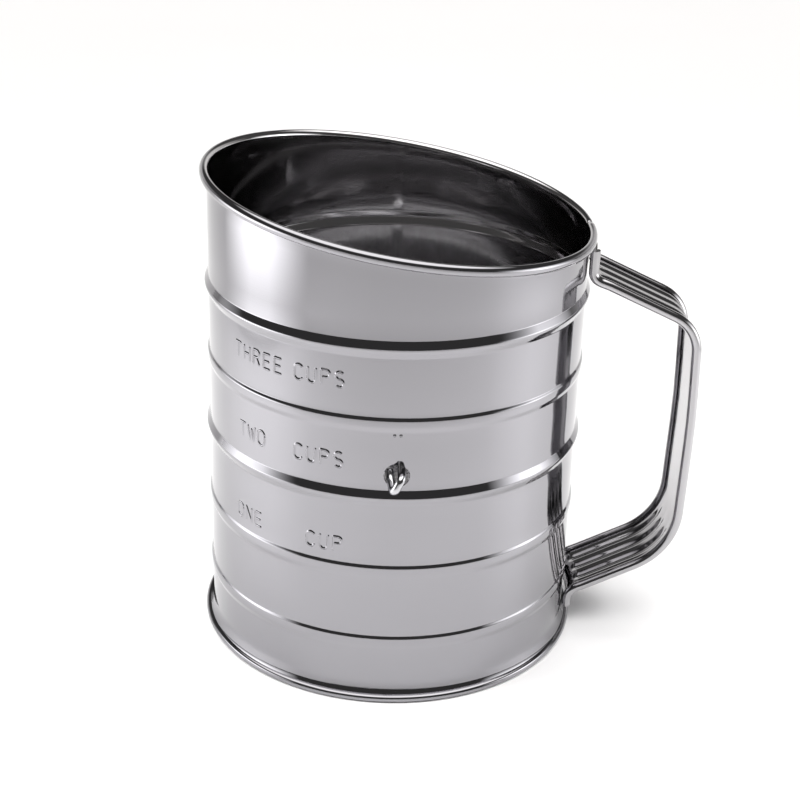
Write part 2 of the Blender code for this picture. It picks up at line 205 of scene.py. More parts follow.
def bend(corners, step=4.0):
    """A path of straight runs with a rounded bend at each corner: (point, radius) pairs."""
    path = [Vector(corners[0][0])]
    for i in range(1, len(corners) - 1):
        corner = Vector(corners[i][0])
        radius = corners[i][1]
        to_before = (Vector(corners[i - 1][0]) - corner).normalized()
        to_after = (Vector(corners[i + 1][0]) - corner).normalized()
        turn = math.pi - to_before.angle(to_after)
        center = corner + (to_before + to_after).normalized() * radius / math.cos(turn / 2)
        first = corner + to_before * radius * math.tan(turn / 2) - center
        onward = -to_before
        onward = (onward - first.normalized() * onward.dot(first.normalized())).normalized() * radius
        steps = max(2, math.ceil(math.degrees(turn) / step))
        for j in range(steps + 1):
            angle = turn * j / steps
            path.append(center + first * math.cos(angle) + onward * math.sin(angle))
    path.append(Vector(corners[-1][0]))
    return path


def finish_mesh(name, bm, material, sharp=40):
    bmesh.ops.remove_doubles(bm, verts=bm.verts, dist=0.0005 * MM)
    bmesh.ops.recalc_face_normals(bm, faces=bm.faces)
    mesh = bpy.data.meshes.new(name)
    bm.to_mesh(mesh)
    bm.free()
    mesh.shade_smooth()
    mesh.set_sharp_from_angle(angle=math.radians(sharp))
    piece = bpy.data.objects.new(name, mesh)
    bpy.context.collection.objects.link(piece)
    mesh.materials.append(material)
    return piece


def skin_loops(name, loops, closed, material, sharp=40):
    """A piece over a row of outlines with equal numbers of points, closed round or capped."""
    bm = bmesh.new()
    rings = [[bm.verts.new(point) for point in loop] for loop in loops]
    count = len(rings[0])
    last = len(rings) if closed else len(rings) - 1
    for i in range(last):
        ring = rings[i]
        following = rings[(i + 1) % len(rings)]
        for j in range(count):
            k = (j + 1) % count
            bm.faces.new((ring[j], ring[k], following[k], following[j]))
    if not closed:
        bm.faces.new(rings[0][::-1])
        bm.faces.new(rings[-1])
    return finish_mesh(name, bm, material, sharp)


def turned(name, section_at, angles, material, sharp=40):
    """A ring about the can's axis: section_at(angle) gives its outline as (r, z)."""
    loops = []
    for angle in angles:
        loops.append([
            (CAN.x + r * math.cos(angle), CAN.y + r * math.sin(angle), z) for r, z in section_at(angle)
        ])
    return skin_loops(name, loops, True, material, sharp)


def turned_along_y(name, outline, axis_point, steps, material, sharp=40):
    """A piece turned about a line along Y: its outline is (r, distance from the can's axis)."""
    loops = []
    for i in range(steps):
        angle = 2 * math.pi * i / steps
        loops.append([
            (axis_point.x + r * math.cos(angle), CAN.y + y, axis_point.z + r * math.sin(angle))
            for r, y in outline
        ])
    return skin_loops(name, loops, True, material, sharp)


def rounded(outline, radius, steps=4):
    """A closed outline in a plane with every corner rounded, as far as its sides allow."""
    result = []
    count = len(outline)
    for i in range(count):
        corner = Vector(outline[i])
        before = Vector(outline[i - 1]) - corner
        after = Vector(outline[(i + 1) % count]) - corner
        reach = min(radius, before.length * 0.45, after.length * 0.45)
        start = corner + before.normalized() * reach
        end = corner + after.normalized() * reach
        for j in range(steps + 1):
            t = j / steps
            point = start * (1 - t) ** 2 + corner * 2 * t * (1 - t) + end * t ** 2
            result.append(tuple(point))
    return result


def tube(name, path, radius, sides, material):
    """A round wire along a path of points, with rounded ends."""
    loops = []
    side = None
    count = len(path)
    for i, point in enumerate(path):
        ahead = (Vector(path[min(i + 1, count - 1)]) - Vector(path[max(i - 1, 0)])).normalized()
        if side is None:
            side = ahead.orthogonal().normalized()
        side = (side - ahead * side.dot(ahead)).normalized()
        other = ahead.cross(side)
        loop = []
        for j in range(sides):
            angle = 2 * math.pi * j / sides
            loop.append(Vector(point) + (side * math.cos(angle) + other * math.sin(angle)) * radius)
        loops.append(loop)
    loops = [shrunk(loops[0], path[0], path[1], radius)] + loops
    loops.append(shrunk(loops[-1], path[-1], path[-2], radius))
    return skin_loops(name, loops, False, material)


def shrunk(loop, end, inner, radius):
    """The last small ring of a wire's rounded end."""
    push = (Vector(end) - Vector(inner)).normalized() * radius * 0.25
    return [Vector(end) + (point - Vector(end)) * 0.7 + push for point in loop]


# ---------------------------------------------------------------- the can

BODY_RADIUS = 52.0 * MM
SHEET = 0.5 * MM
WALL_RADIUS = BODY_RADIUS - SHEET / 2
RIM_MID_HEIGHT = 126.7 * MM
RIM_SLOPE = 0.148
RIM_HALF_WIDTH = 0.95 * MM
RIM_HALF_HEIGHT = 1.2 * MM
FOOT_ROLL = 0.9 * MM
FOOT_REACH = 1.4 * MM
FOOT_FLARE = ((0.75 * MM, 2.5 * MM), (0.5 * MM, 3.2 * MM), (0.2 * MM, 4.2 * MM), (0.0, 5.2 * MM))
BEADS = (                        # (height of the bead's crest, how far it stands out)
    (18.2 * MM, 0.45 * MM),
    (40.1 * MM, 0.45 * MM),
    (62.4 * MM, 1.0 * MM),
    (83.2 * MM, 0.45 * MM),
    (104.1 * MM, 1.0 * MM),
)
# A bead's outline as (mm above its crest, share of the crest's height)
STEP_SHAPE = ((-2.6, 0.0), (-1.6, 0.5), (-0.5, 1.0), (0.0, 1.0), (1.9, 0.0))
BAND_SHAPE = ((-2.2, 0.0), (-0.8, 1.0), (1.1, 1.0), (1.8, 0.0))
HOLE_RADIUS = 3.4 * MM
HOLE_TIP = 4.3 * MM
HOLE_CUT = 4.0 * MM              # the hole's cutter reaches this far to both sides of the wall
CAN_SHARP = 50                   # degrees; a sharper edge of the can isn't smoothed

# Words pressed into the wall: (middle of the word in degrees round from +X, height, word)
GRADUATIONS = (
    (-134.9, 94.5 * MM, "THREE"),
    (-113.1, 94.5 * MM, "CUPS"),
    (-137.3, 72.0 * MM, "TWO"),
    (-113.1, 72.0 * MM, "CUPS"),
    (-138.8, 47.2 * MM, "ONE"),
    (-110.9, 47.2 * MM, "CUP"),
)
LETTER_HEIGHT = 4.4 * MM
LETTER_PITCH = 3.8 * MM
STROKE_HALF = 0.45 * MM
STROKE_RELIEF = 0.25 * MM
STROKE_FOOT = 0.02 * MM          # a pressed stroke starts this far under the wall's surface
STROKE_SUNK = 0.2 * MM
STROKE_STEPS = 6
STROKE_END = 0.5                 # a stroke's size at its two ends
STROKE_SPACING = 0.25 * MM
DASH_HEIGHT = 80.2 * MM
DASH_HALF = 0.4 * MM
DASHES = (-0.85 * MM, 0.75 * MM)
SEAM_ANGLE = math.radians(3)
SEAM_HALF = 0.4 * MM
SEAM_DEPTH = 0.2 * MM
RIM_PINCH = 0.4
RIM_PINCH_REACH = 0.6            # degrees
RIM_THINNING = 0.16
RIM_THINNING_REACH = 9           # degrees


def smooth_bump(t):
    """1 in the middle, falling smoothly to 0 at a distance of 1."""
    return (1 - t * t) ** 2 if t < 1.0 else 0.0


def letter_strokes(letter):
    """The centre lines of a letter's strokes in a box one unit high, as (across, up) points."""
    upright = [(-0.26, -0.48), (-0.26, 0.48)]
    bowl = upright + arc((0.03, 0.25), 0.23, 90, -90, 8) + [(-0.26, 0.02)]
    ring = arc((0, 0.2), 0.28, 0, 180, 10) + arc((0, -0.2), 0.28, 180, 360, 10)
    strokes = {
        "C": [arc((0, 0.2), 0.28, 25, 180, 8) + arc((0, -0.2), 0.28, 180, 335, 8)],
        "E": [[(0.26, 0.48), (-0.26, 0.48), (-0.26, -0.48), (0.26, -0.48)], [(-0.26, 0.0), (0.2, 0.0)]],
        "H": [upright, [(0.26, -0.48), (0.26, 0.48)], [(-0.26, 0.0), (0.26, 0.0)]],
        "N": [upright + [(0.26, -0.48), (0.26, 0.48)]],
        "O": [ring + ring[:1]],
        "P": [bowl],
        "R": [bowl, [(0.0, 0.02), (0.26, -0.48)]],
        "S": [arc((0, 0.24), 0.24, 30, 270, 10) + arc((0, -0.24), 0.24, 90, -150, 10)],
        "T": [[(-0.28, 0.48), (0.28, 0.48)], [(0.0, 0.48), (0.0, -0.48)]],
        "U": [[(-0.26, 0.48)] + arc((0, -0.22), 0.26, 180, 360, 10) + [(0.26, 0.48)]],
        "W": [[(-0.34, 0.48), (-0.17, -0.48), (0.0, 0.3), (0.17, -0.48), (0.34, 0.48)]],
    }
    return strokes[letter]


def mark_strokes():
    """Every pressed stroke on the wall, as points (distance round the wall from +X, height)."""
    strokes = []
    for middle, height, word in GRADUATIONS:
        for i, letter in enumerate(word):
            across = math.radians(middle) * BODY_RADIUS + (i - (len(word) - 1) / 2) * LETTER_PITCH
            for stroke in letter_strokes(letter):
                strokes.append([
                    (across + x * LETTER_HEIGHT, height + y * LETTER_HEIGHT) for x, y in stroke
                ])
    hook = -math.pi / 2 * BODY_RADIUS
    for middle in DASHES:
        ends = (middle - DASH_HALF, middle + DASH_HALF)
        strokes.append([(hook + end, DASH_HEIGHT) for end in ends])
    return strokes


def ridge_profile():
    """Across a pressed stroke: a smooth ridge whose foot lies just under the wall's surface."""
    profile = []
    for i in range(-STROKE_STEPS, STROKE_STEPS + 1):
        off = i / STROKE_STEPS
        profile.append((STROKE_HALF * off, STROKE_RELIEF * smooth_bump(abs(off)) - STROKE_FOOT))
    return profile + [(STROKE_HALF, -STROKE_SUNK), (-STROKE_HALF, -STROKE_SUNK)]


def stroke_rings(stroke, profile):
    """The outlines along one pressed stroke, laid round the wall and smaller at the two ends."""
    path = resample([Vector(point) for point in stroke], STROKE_SPACING)
    rings = []
    for i, point in enumerate(path):
        ahead = (path[min(i + 1, len(path) - 1)] - path[max(i - 1, 0)]).normalized()
        side = Vector((-ahead.y, ahead.x))
        share = STROKE_END if i in (0, len(path) - 1) else 1.0
        ring = []
        for off, rise in profile:
            spot = point + side * off * share
            angle = spot.x / BODY_RADIUS
            radius = BODY_RADIUS + rise * share
            ring.append((CAN.x + radius * math.cos(angle), CAN.y + radius * math.sin(angle), spot.y))
        rings.append(ring)
    return rings


def make_graduations(material):
    bm = bmesh.new()
    profile = ridge_profile()
    for stroke in mark_strokes():
        rings = [[bm.verts.new(point) for point in ring] for ring in stroke_rings(stroke, profile)]
        for ring, following in zip(rings, rings[1:]):
            for j in range(len(profile)):
                k = (j + 1) % len(profile)
                bm.faces.new((ring[j], ring[k], following[k], following[j]))
        bm.faces.new(rings[0][::-1])
        bm.faces.new(rings[-1])
    return finish_mesh("graduations", bm, material, CAN_SHARP)


def seam_dip(angle):
    """How deep the wall's lapped seam is pressed in at one angle."""
    return SEAM_DEPTH * smooth_bump(abs(angle - SEAM_ANGLE) * BODY_RADIUS / SEAM_HALF)


def bead_lift(z):
    """A bead's sharp outline at one height."""
    for height, crest in BEADS:
        shape = STEP_SHAPE if crest > SHEET else BAND_SHAPE
        for (low, low_share), (high, high_share) in zip(shape, shape[1:]):
            if height + low * MM <= z < height + high * MM:
                t = (z - height - low * MM) / ((high - low) * MM)
                return crest * (low_share + (high_share - low_share) * t)
    return 0.0


def wall_shift(z):
    """How far the beads push the wall outward at a height, with their corners softened."""
    return sum(bead_lift(z + offset * 0.09 * MM) for offset in range(-2, 3)) / 5


def spread(rows, gap):
    """The sorted values without those closer than the gap to the one before."""
    kept = []
    for value in sorted(rows):
        if not kept or value - kept[-1] > gap:
            kept.append(value)
    return kept


def wall_rows(bottom, top):
    """Heights of the wall's rows, close together over the beads."""
    rows = [bottom + 5.0 * MM * i for i in range(int((top - bottom) / (5.0 * MM)) + 1)]
    for height, crest in BEADS:
        for rise, _ in STEP_SHAPE if crest > SHEET else BAND_SHAPE:
            rows += [height + rise * MM + offset * 0.1 * MM for offset in (-2, -1, 0, 1, 2)]
    return spread(rows, 0.09 * MM)


def can_angles():
    """Angles of the wall's columns, close together over the seam."""
    angles = [math.radians(3 * i) for i in range(-60, 60)]
    angles += [SEAM_ANGLE + SEAM_HALF / BODY_RADIUS * i / 2 for i in range(-4, 5)]
    return spread(angles, 0.1 * MM / BODY_RADIUS)


TOP_ROW = 112.0 * MM
ROWS = wall_rows(FOOT_FLARE[-1][1] + 1.0 * MM, TOP_ROW)


def rim_share(angle):
    """The rolled rim's size at one angle: pinched where its two ends meet, thinner after that."""
    past = math.degrees(angle - SEAM_ANGLE)
    share = 1.0 - RIM_PINCH * math.exp(-(past / RIM_PINCH_REACH) ** 2)
    if past > 0:
        share -= RIM_THINNING * max(0.0, 1 - past / RIM_THINNING_REACH)
    return share


def can_path(angle):
    """The middle of the can's sheet at one angle: curled foot, flare, wall, rolled rim."""
    foot = (WALL_RADIUS + FOOT_REACH, FOOT_ROLL * math.sin(math.radians(60)) + SHEET / 2)
    path = arc(foot, FOOT_ROLL, 170, 240, 5) + arc(foot, FOOT_ROLL, 300, 466, 14)
    path += [(WALL_RADIUS + out, height) for out, height in FOOT_FLARE]
    path += [(WALL_RADIUS + wall_shift(z) - seam_dip(angle), z) for z in ROWS]
    share = rim_share(angle)
    rim_radius = WALL_RADIUS + RIM_HALF_WIDTH * share
    rim_height = RIM_MID_HEIGHT - RIM_SLOPE * rim_radius * math.cos(angle)
    path += [(WALL_RADIUS, TOP_ROW + (rim_height - TOP_ROW) * i / 4) for i in range(1, 4)]
    for across, up in arc((0, 0), share, 180, -105, 18):
        path.append((rim_radius + RIM_HALF_WIDTH * across, rim_height + RIM_HALF_HEIGHT * up))
    return path


def hole_outline(notched):
    """A round hole, or one flattened beside a small notch above it, as (across, up) points."""
    if not notched:
        return arc((0, 0), HOLE_RADIUS, 0, 352, 44)
    outline = arc((0, 0), HOLE_RADIUS, 105, 385, 40)
    outline += [(1.9 * MM, 2.65 * MM), (0.95 * MM, HOLE_TIP - 0.85 * MM)]
    outline += [(0.72 * MM, HOLE_TIP - 0.35 * MM), (0.5 * MM, HOLE_TIP - 0.08 * MM), (0.28 * MM, HOLE_TIP)]
    outline += [(0.05 * MM, HOLE_TIP - 0.12 * MM), (-0.18 * MM, HOLE_TIP - 0.45 * MM)]
    return outline


def cut_holes(can):
    for side in (-1, 1):
        outline = hole_outline(side < 0)
        loops = []
        for depth in (BODY_RADIUS - HOLE_CUT, BODY_RADIUS + HOLE_CUT):
            loops.append([(CAN.x + x, CAN.y + side * depth, SHAFT_Z + z) for x, z in outline])
        cutter = skin_loops("hole_cutter", loops, False, can.data.materials[0])
        modifier = can.modifiers.new("hole", "BOOLEAN")
        modifier.operation = "DIFFERENCE"
        modifier.object = cutter
        with bpy.context.temp_override(object=can, active_object=can):
            bpy.ops.object.modifier_apply(modifier=modifier.name)
        bpy.data.objects.remove(cutter, do_unlink=True)


def make_can(material):
    def section_at(angle):
        return thicken(can_path(angle), SHEET)

    can = turned("can_wall", section_at, can_angles(), material, CAN_SHARP)
    cut_holes(can)
    can.data.set_sharp_from_angle(angle=math.radians(CAN_SHARP))
    return can


# ---------------------------------------------------------------- the screen

SCREEN_RADIUS = 49.8 * MM
SCREEN_WIRE = 0.15 * MM
SCREEN_PITCH = 1.5 * MM
SCREEN_EDGE = 60.0 * MM
SCREEN_OVERHANG = 0.3 * MM       # the wires reach this far past the dome's edge, into the band
BAND_SHEET = 0.6 * MM
BAND_BOTTOM = 59.4 * MM
BAND_TOP = 64.4 * MM
BAND_BEAD = 61.8 * MM            # the band's bulge snaps into the can's middle bead
BAND_BEAD_HALF = 1.2 * MM
BAND_BEAD_OUT = 0.6 * MM
BAND_INNER_DROP = 1.2 * MM       # the band's inner leg ends this far above its outer one


def screen_wires(name, along_x, material):
    """One layer of the woven dome: wires side by side, waving over and under the other layer."""
    edge_depth = SHAFT_Z - SCREEN_EDGE
    edge_radius = math.sqrt(SCREEN_RADIUS ** 2 - edge_depth ** 2)
    count = int(edge_radius / SCREEN_PITCH)
    bm = bmesh.new()
    for k in range(-count, count + 1):
        offset = k * SCREEN_PITCH
        half_span = math.sqrt(edge_radius ** 2 - offset ** 2) + SCREEN_OVERHANG
        ring_radius = math.sqrt(SCREEN_RADIUS ** 2 - offset ** 2)
        steps = max(4, int(2 * half_span / (SCREEN_PITCH / 2)))
        rings = []
        for i in range(steps + 1):
            run = -half_span + 2 * half_span * i / steps
            wave = math.cos(math.pi * (run / SCREEN_PITCH + k)) * SCREEN_WIRE
            wave = wave if along_x else -wave
            drop = math.sqrt(max(0.0, ring_radius ** 2 - run ** 2))
            middle = Vector((run, offset, -drop) if along_x else (offset, run, -drop))
            outward = middle.normalized()
            middle += outward * wave
            across = Vector((0, 1, 0)) if along_x else Vector((1, 0, 0))
            across = (across - outward * across.dot(outward)).normalized()
            ring = []
            for j in range(4):
                angle = math.pi / 4 + math.pi / 2 * j
                point = middle + (across * math.cos(angle) + outward * math.sin(angle)) * SCREEN_WIRE
                ring.append(bm.verts.new(point + SHAFT))
            rings.append(ring)
        for ring, following in zip(rings, rings[1:]):
            for j in range(4):
                bm.faces.new((ring[j], ring[(j + 1) % 4], following[(j + 1) % 4], following[j]))
        bm.faces.new(rings[0][::-1])
        bm.faces.new(rings[-1])
    bmesh.ops.recalc_face_normals(bm, faces=bm.faces)
    mesh = bpy.data.meshes.new(name)
    bm.to_mesh(mesh)
    bm.free()
    mesh.shade_smooth()
    piece = bpy.data.objects.new(name, mesh)
    bpy.context.collection.objects.link(piece)
    mesh.materials.append(material)
    return piece


def even_angles(steps):
    return [2 * math.pi * i / steps for i in range(steps)]


def make_screen_band(material):
    outer = BODY_RADIUS - SHEET - CLEARANCE - BAND_SHEET / 2
    inner = SCREEN_RADIUS - 2 * CLEARANCE - BAND_SHEET / 2
    turn = (outer - inner) / 2
    top_center = (inner + turn, BAND_TOP - turn - BAND_SHEET / 2)
    path = [(inner, BAND_BOTTOM + BAND_INNER_DROP)] + arc(top_center, turn, 180, 0, 12)
    for i in range(-8, 9):
        lift = BAND_BEAD_OUT * (0.5 + 0.5 * math.cos(math.pi * i / 8))
        path.append((outer + lift, BAND_BEAD - BAND_BEAD_HALF * i / 8))
    path.append((outer, BAND_BOTTOM))
    outline = rounded(thicken(path, BAND_SHEET), 0.02 * MM, 1)
    return turned("screen_band", lambda angle: outline, even_angles(180), material)


# ---------------------------------------------------------------- the handle

STRAP_HALF_WIDTH = 12.0 * MM
STRAP_SHEET = 0.7 * MM
STRAP_EDGE = 1.4 * MM
STRAP_RIB = 0.5 * MM
STRAP_RIBS = (-5.5 * MM, 0.0, 5.5 * MM)
STRAP_RIB_HALF = 2.1 * MM
TAB_X = BODY_RADIUS + CLEARANCE + STRAP_EDGE
GRIP_X = 83.55 * MM
GRIP_END_X = 82.6 * MM
STRAP_ROUTE = (
    (TAB_X, 116.4 * MM, 0.0),
    (TAB_X, 108.1 * MM, 3.5 * MM),
    (GRIP_END_X, 94.7 * MM, 12.0 * MM),
    (GRIP_X, 66.0 * MM, 300.0 * MM),
    (GRIP_END_X, 25.0 * MM, 20.0 * MM),
    (TAB_X, 10.8 * MM, 5.0 * MM),
    (TAB_X, 5.6 * MM, 0.0),
)
RIB_FADE = 4.0 * MM              # the ribs die away over this distance from the tabs and the grip
RIB_MARGIN = 1.0 * MM            # between the ribbed sheet and the middle of a rolled edge
TAB_BLEND = 3.0 * MM             # the tabs' curve round the can dies away over this distance
SECTION_STEPS = 64


def strap_section(rib_height):
    """The strap's cross-section as (distance across, height): pressed ribs and rolled edges."""
    flat_end = STRAP_HALF_WIDTH - STRAP_EDGE
    ribbed_half = flat_end - RIB_MARGIN
    middle = []
    for i in range(SECTION_STEPS + 1):
        across = -ribbed_half + 2 * ribbed_half * i / SECTION_STEPS
        height = 0.0
        for rib in STRAP_RIBS:
            off = abs(across - rib) / STRAP_RIB_HALF
            if off < 1:
                height = rib_height * (0.5 + 0.5 * math.cos(math.pi * off))
        middle.append((across, height))
    faces = thicken(middle, STRAP_SHEET)
    top = faces[:len(middle)]
    bottom = faces[len(middle):]
    right_edge = arc((flat_end, 0.0), STRAP_EDGE, 155, -155, 18)
    left_edge = arc((-flat_end, 0.0), STRAP_EDGE, -25, -335, 18)
    return top + right_edge + bottom + left_edge


def resample(path, spacing):
    """The same path with points no further apart than the spacing."""
    result = [path[0]]
    for a, b in zip(path, path[1:]):
        steps = max(1, math.ceil((b - a).length / spacing))
        for i in range(1, steps + 1):
            result.append(a.lerp(b, i / steps))
    return result


def make_handle(material):
    corners = [(Vector((x, 0, z)), radius) for x, z, radius in STRAP_ROUTE]
    route = resample(bend(corners, 5.0), 2.0 * MM)
    loops = []
    for i, point in enumerate(route):
        share = max(0.0, min(1.0, (point.x - TAB_X) / RIB_FADE, (GRIP_END_X - point.x) / RIB_FADE))
        section = strap_section(STRAP_RIB * share * share * (3 - 2 * share))
        ahead = route[min(i + 1, len(route) - 1)] - route[max(i - 1, 0)]
        normal = Vector((-ahead.z, 0, ahead.x)).normalized()
        hug = max(0.0, min(1.0, 1.0 - (point.x - TAB_X) / TAB_BLEND))
        loop = []
        for across, height in section:
            sag = TAB_X - math.sqrt(TAB_X ** 2 - across ** 2)
            loop.append(CAN + point + normal * height + Vector((-hug * sag, across, 0)))
        loops.append(loop)
    return skin_loops("handle", loops, False, material)


# ---------------------------------------------------------------- the crank

WIRE_RADIUS = 1.1 * MM
ARM_PLANE = 57.0 * MM
SPINDLE_END = 90.0 * MM
HOOK_REACH = 58.0 * MM
HOOP_WIRE = 1.0 * MM
HOOP_RADIUS = 46.4 * MM
COIL_TURNS = 1.5
COIL_STEPS = 28                  # points in one turn
HOOP_STEPS = 90
BORE = WIRE_RADIUS + CLEARANCE
BUSH_START = 49.6 * MM
BUSH_LIP_RADIUS = 3.9 * MM
BUSH_LIP = 1.2 * MM
BUSH_FLANGE_START = BODY_RADIUS + 1.3 * MM
BUSH_FLANGE_RADIUS = 5.6 * MM
BUSH_FLANGE = 1.1 * MM
KNOB_START = 61.5 * MM
KNOB_LENGTH = 25.0 * MM
KNOB_RADIUS = 10.0 * MM
KNOB_DOME = 7.5 * MM
WASHER_RADIUS = 4.2 * MM
WASHER = 0.8 * MM
CAP_RADIUS = 3.2 * MM
CAP_SKIRT = 1.2 * MM
CAP_BACK = 2.7 * MM              # from the cap's open end to the spindle's end
CAP_PAST_END = 0.3 * MM          # the cap's dome stands this far past the spindle's end
CAP_TIP = 0.8 * MM               # the spindle reaches this far into the cap's solid tip


def make_crank_wire(material):
    arm = SHAFT_Z - SPINDLE.z
    corners = [
        ((0, SPINDLE_END - 1.2 * MM, -arm), 0.0),
        ((0, ARM_PLANE, -arm), 4.0 * MM),
        ((0, ARM_PLANE, 0), 2.8 * MM),
        ((0, -45.0 * MM, 0), 3.0 * MM),
        ((1.2 * MM, -49.0 * MM, 1.4 * MM), 3.0 * MM),
        ((1.2 * MM, -56.4 * MM, 1.3 * MM), 1.6 * MM),
        ((-0.9 * MM, 1.2 * MM - HOOK_REACH, -3.0 * MM), 1.5 * MM),
        ((-1.6 * MM, -50.9 * MM, -1.1 * MM), 3.0 * MM),
        ((-1.6 * MM, -47.8 * MM, -1.1 * MM), 0.0),
    ]
    path = [SHAFT + point for point in resample(bend(corners, 6.0), 3.0 * MM)]
    return tube("crank_and_shaft", path, WIRE_RADIUS, 20, material)


def make_hoop(name, side, coil_y, material):
    """Half a hoop beside the shaft, with a short coil round the shaft at each end."""
    coil_radius = BORE + HOOP_WIRE
    pitch = 2 * HOOP_WIRE + CLEARANCE
    steps = round(COIL_TURNS * COIL_STEPS)
    coil = []
    for i in range(steps):
        turn = COIL_TURNS * (1 - i / steps)
        angle = 2 * math.pi * turn
        x = -side * coil_radius * math.sin(angle)
        coil.append((x, -coil_y + pitch * turn, coil_radius * math.cos(angle)))
    hoop = []
    for i in range(1, HOOP_STEPS):
        angle = math.pi * i / HOOP_STEPS
        lift = coil_radius * (1 - math.sin(angle)) ** 2
        hoop.append((side * HOOP_RADIUS * math.sin(angle), -coil_y * math.cos(angle), lift))
    far_coil = [(x, -y, z) for x, y, z in coil[::-1]]
    path = coil + [(0.0, -coil_y, coil_radius)] + hoop + [(0.0, coil_y, coil_radius)] + far_coil
    return tube(name, [SHAFT + Vector(point) for point in path], HOOP_WIRE, 16, material)


def make_bush(material):
    barrel = HOLE_RADIUS - CLEARANCE
    end = BUSH_FLANGE_START + BUSH_FLANGE
    outline = [
        (BORE, BUSH_START),
        (BUSH_LIP_RADIUS, BUSH_START),
        (BUSH_LIP_RADIUS, BUSH_START + BUSH_LIP),
        (barrel, BUSH_START + BUSH_LIP + 0.2 * MM),
        (barrel, BUSH_FLANGE_START),
        (BUSH_FLANGE_RADIUS, BUSH_FLANGE_START),
        (BUSH_FLANGE_RADIUS, end - 0.3 * MM),
        (BUSH_FLANGE_RADIUS - 0.7 * MM, end),
        (BORE, end),
    ]
    return turned_along_y("bush", rounded(outline, 0.25 * MM), SHAFT, 64, material)


def make_knob(material):
    bore = WIRE_RADIUS + 0.4 * MM
    end = KNOB_START + KNOB_LENGTH
    dome_start = end - KNOB_DOME
    outline = [(bore, KNOB_START), (5.2 * MM, KNOB_START), (6.2 * MM, KNOB_START + 1.0 * MM)]
    outline += [(7.4 * MM, KNOB_START + 8 * MM), (9.2 * MM, dome_start - 4.5 * MM)]
    for i in range(6):
        angle = math.radians(14 * i)
        outline.append((KNOB_RADIUS * math.cos(angle), dome_start + KNOB_DOME * math.sin(angle)))
    outline += [(2.5 * MM, end), (bore, end)]
    outline = rounded(rounded(outline, 2.0 * MM, 5), 0.3 * MM, 2)
    return turned_along_y("knob", outline, SPINDLE, 96, material)


def make_washer(material):
    start = KNOB_START - CLEARANCE - WASHER
    end = start + WASHER
    outline = [(BORE, start), (WASHER_RADIUS, start), (WASHER_RADIUS, end), (BORE, end)]
    return turned_along_y("inner_washer", rounded(outline, 0.15 * MM), SPINDLE, 64, material)


def make_cap(material):
    start = SPINDLE_END - CAP_BACK
    dome_start = start + CAP_SKIRT
    dome_height = SPINDLE_END + CAP_PAST_END - dome_start
    floor = SPINDLE_END - CAP_TIP
    outline = [(0.0, floor), (BORE, floor), (BORE, start), (CAP_RADIUS, start)]
    for i in range(18):
        angle = math.radians(5 * i)
        outline.append((CAP_RADIUS * math.cos(angle), dome_start + dome_height * math.sin(angle)))
    outline.append((0.0, dome_start + dome_height))
    return turned_along_y("push_cap", outline, SPINDLE, 64, material)


# ---------------------------------------------------------------- floor, light and camera

CEILING_GLOW = 2.7
CARD_GLOW = 0.8
ROOM_GLOW = 0.08
LAMP_TARGET = CAN + Vector((0, -0.02, 0.08))
# (name, place from the can's axis, width, height, watts, share that fades at each edge, seen in steel)
SOFTBOXES = (
    ("left_softbox", (-0.27, -0.035, 0.075), 0.36, 0.15, 0.68, 0.4, True),
    ("right_softbox", (0.36, -0.05, 0.12), 0.40, 0.24, 1.5, 0.5, True),
    ("left_table_light", (-0.25, -0.08, 0.30), 0.15, 0.15, 2.8, 0.5, False),
    ("right_table_light", (0.26, -0.06, 0.30), 0.15, 0.15, 1.7, 0.5, False),
)
CAMERA_AZIMUTH = -0.031
CAMERA_ELEVATION = 0.433
CAMERA_ROLL = 0.033
CAMERA_DISTANCE = 0.4716
CAMERA_TARGET = CAN + Vector((0.0018, 0.0, 0.0662))
CAMERA_LENS = 74.25


def make_stage():
    bpy.ops.mesh.primitive_circle_add(vertices=96, radius=4.0, fill_type="NGON", location=(0, 0, 0))
    floor = bpy.context.object
    floor.name = "floor"
    material, nodes, shader = new_material("pale_floor")
    cloud = nodes.noise(nodes.stretched((1, 1, 1)), 3.0, 3.0)
    nodes.put(shader.inputs["Base Color"], nodes.mix(cloud, (0.88, 0.88, 0.885), (0.92, 0.92, 0.925)))
    shader.inputs["Roughness"].default_value = 0.3
    floor.data.materials.append(material)


def make_world():
    """A dim studio with a wide bright ceiling and a pale card low down behind the object."""
    world = bpy.data.worlds.new("studio")
    bpy.context.scene.world = world
    world.use_nodes = True
    nodes = Nodes(world.node_tree)
    background = world.node_tree.nodes["Background"]
    direction = nodes.add("ShaderNodeTexCoord").outputs["Generated"]
    parts = nodes.add("ShaderNodeSeparateXYZ", {"Vector": direction})
    ceiling = nodes.ramp(parts.outputs["Z"], 0.70, 0.82, 0.0, CEILING_GLOW)
    behind = nodes.ramp(parts.outputs["Y"], 0.35, 0.85, 0.0, CARD_GLOW)
    low = nodes.ramp(parts.outputs["Z"], 0.22, 0.34, 1.0, 0.0)
    card = nodes.math("MULTIPLY", behind, low)
    glow = nodes.math("ADD", nodes.math("ADD", ceiling, card), ROOM_GLOW)
    nodes.put(background.inputs["Color"], (1.0, 0.985, 0.97, 1.0))
    nodes.put(background.inputs["Strength"], glow)


